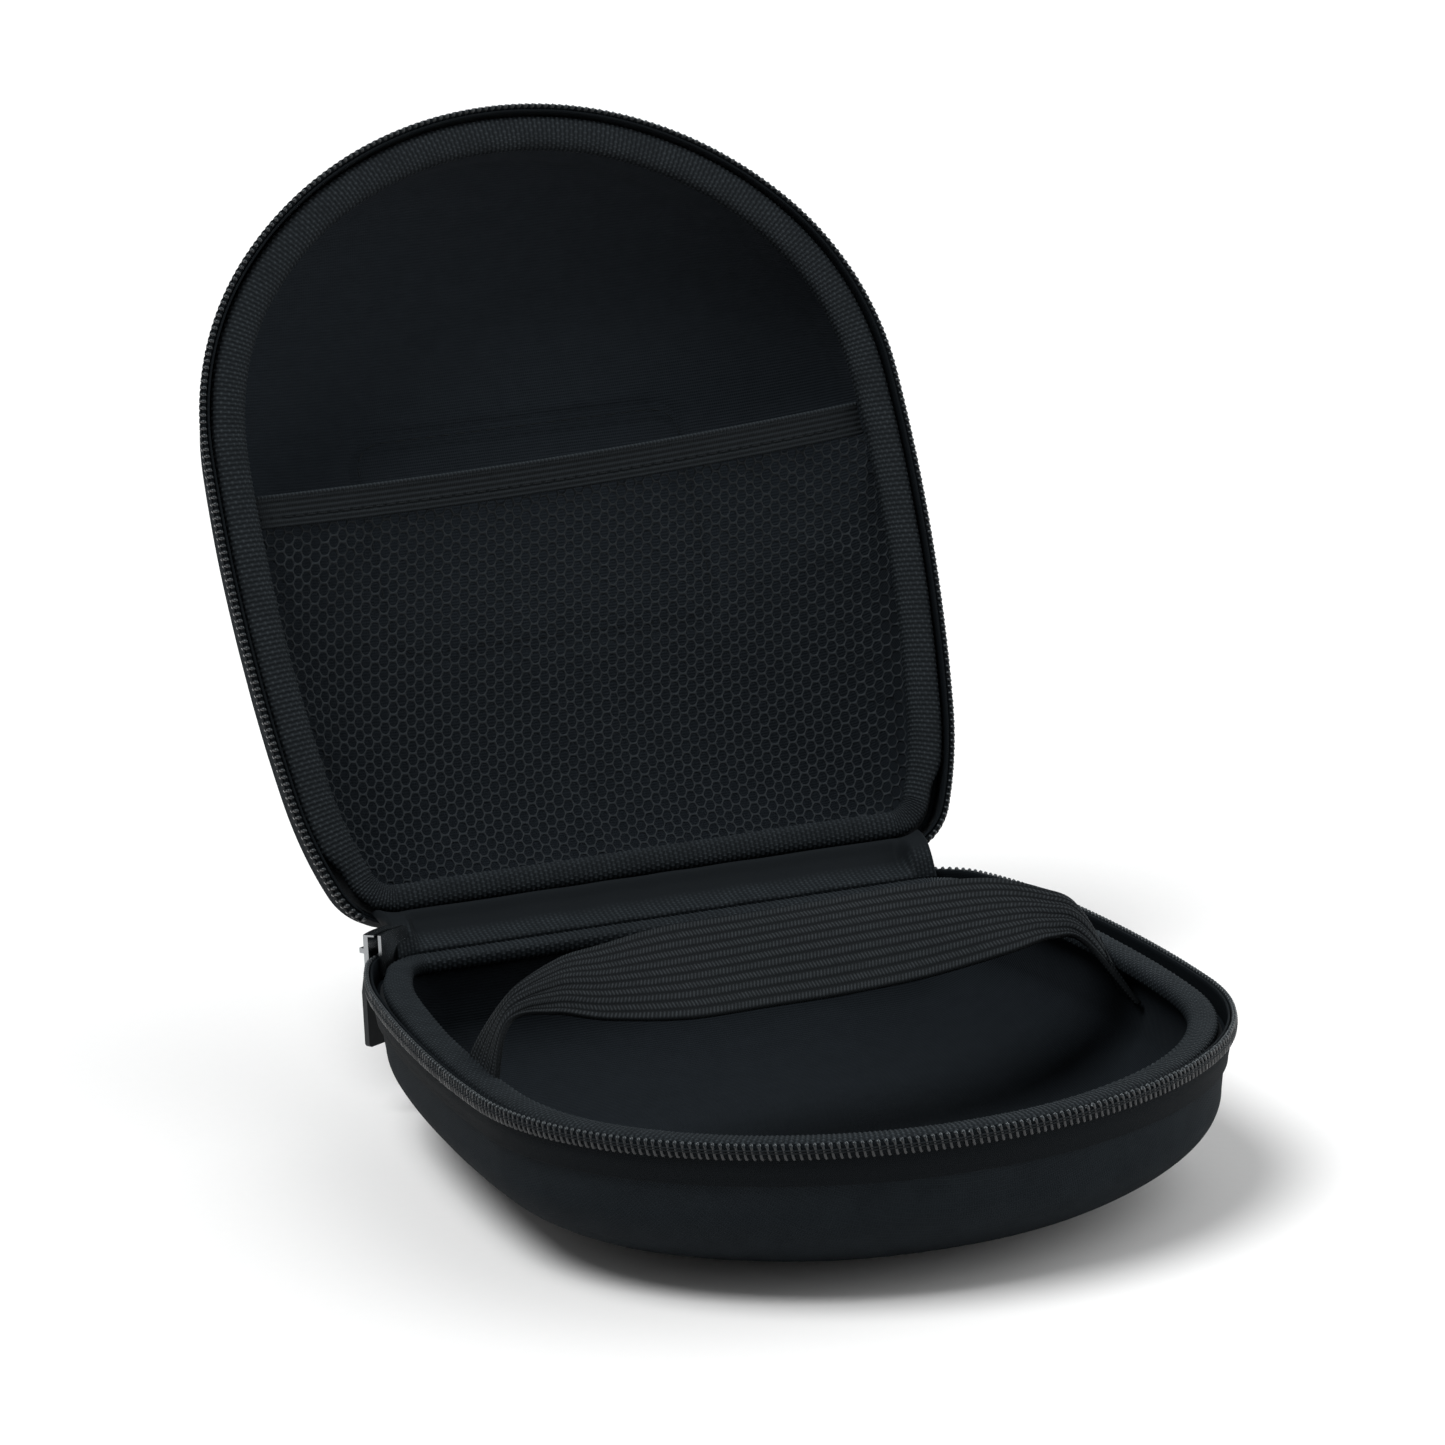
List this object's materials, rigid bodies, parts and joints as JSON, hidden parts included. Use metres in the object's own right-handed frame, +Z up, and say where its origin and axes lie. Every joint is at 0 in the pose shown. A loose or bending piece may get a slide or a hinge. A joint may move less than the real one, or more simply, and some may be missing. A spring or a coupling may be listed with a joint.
{
  "type": "headphone case",
  "caption": "Zippered hard-shell carrying case for over-ear headphones, with hinged lid, net lid pocket and elastic retaining strap.",
  "frame": {"origin": "centre of the base's flat underside", "axes": "+Z up out of the base, -Y towards the opening front edge, +Y towards the hinge, +X to the right seen from the front; the base and lid outlines are symmetric about X = 0"},
  "size_m": [0.2024, 0.3529, 0.2485],
  "materials": {
    "cover_fabric": "tight matte polyester weave bonded to the shell",
    "eva_shell": "matte moulded foam",
    "lining_knit": "fine horizontal knit",
    "binding_knit": "ribbed knit binding tape",
    "zipper_tape": "woven tape",
    "zipper_coil": "satin nylon coil",
    "elastic_webbing": "ribbed woven elastic",
    "pocket_net": "hexagonal nylon net",
    "thread": "polyester thread",
    "badge_patch": "blank matte patch",
    "slider_metal": "dark coated zinc, worn bright at the edges",
    "puller_rubber": "matte moulded pull"
  },
  "bodies": {
    "base": {"base_cover": "cover_fabric", "base_shell": "eva_shell", "base_lining": "lining_knit", "base_binding": "binding_knit", "base_zipper_tape": "zipper_tape", "base_zipper_coil": "zipper_coil", "hinge_panel": "cover_fabric", "hinge_lining": "lining_knit", "left_end_stop": "zipper_coil", "right_end_stop": "zipper_coil", "elastic_strap": "elastic_webbing", "strap_bartacks": "thread"},
    "lid": {"lid_cover": "cover_fabric", "lid_shell": "eva_shell", "lid_lining": "lining_knit", "lid_binding": "binding_knit", "lid_zipper_tape": "zipper_tape", "lid_zipper_coil": "zipper_coil", "mesh_pocket": "pocket_net", "pocket_hem": "elastic_webbing", "hem_stitches": "thread", "lid_badge": "badge_patch", "badge_stitches": "thread"},
    "slider": {"slider_body": "slider_metal", "slider_crown": "slider_metal"},
    "link": {"puller_link": "slider_metal"},
    "tab": {"puller_tab": "puller_rubber"}
  },
  "joints": [
    {"name": "lid_hinge", "type": "hinge", "parent": "base", "child": "lid", "pos_m": [0, 0.1153, 0.045], "axis": [-1, 0, 0], "range_deg": [-116.5, 63]},
    {"name": "slider_travel", "type": "hinge", "parent": "base", "child": "slider", "pos_m": [-0.0714, 0.0936, 0.045], "axis": [0, 0, 1], "range_deg": [0, 25]},
    {"name": "puller_swing", "type": "hinge", "parent": "slider", "child": "link", "pos_m": [-0.0826, 0.1134, 0.045], "axis": [0.8704, 0.4924, 0], "range_deg": [0, 95]},
    {"name": "tab_sway", "type": "hinge", "parent": "link", "child": "tab", "pos_m": [-0.0826, 0.1134, 0.03735], "axis": [-0.4924, 0.8704, 0], "range_deg": [-35, 35]}
  ]
}
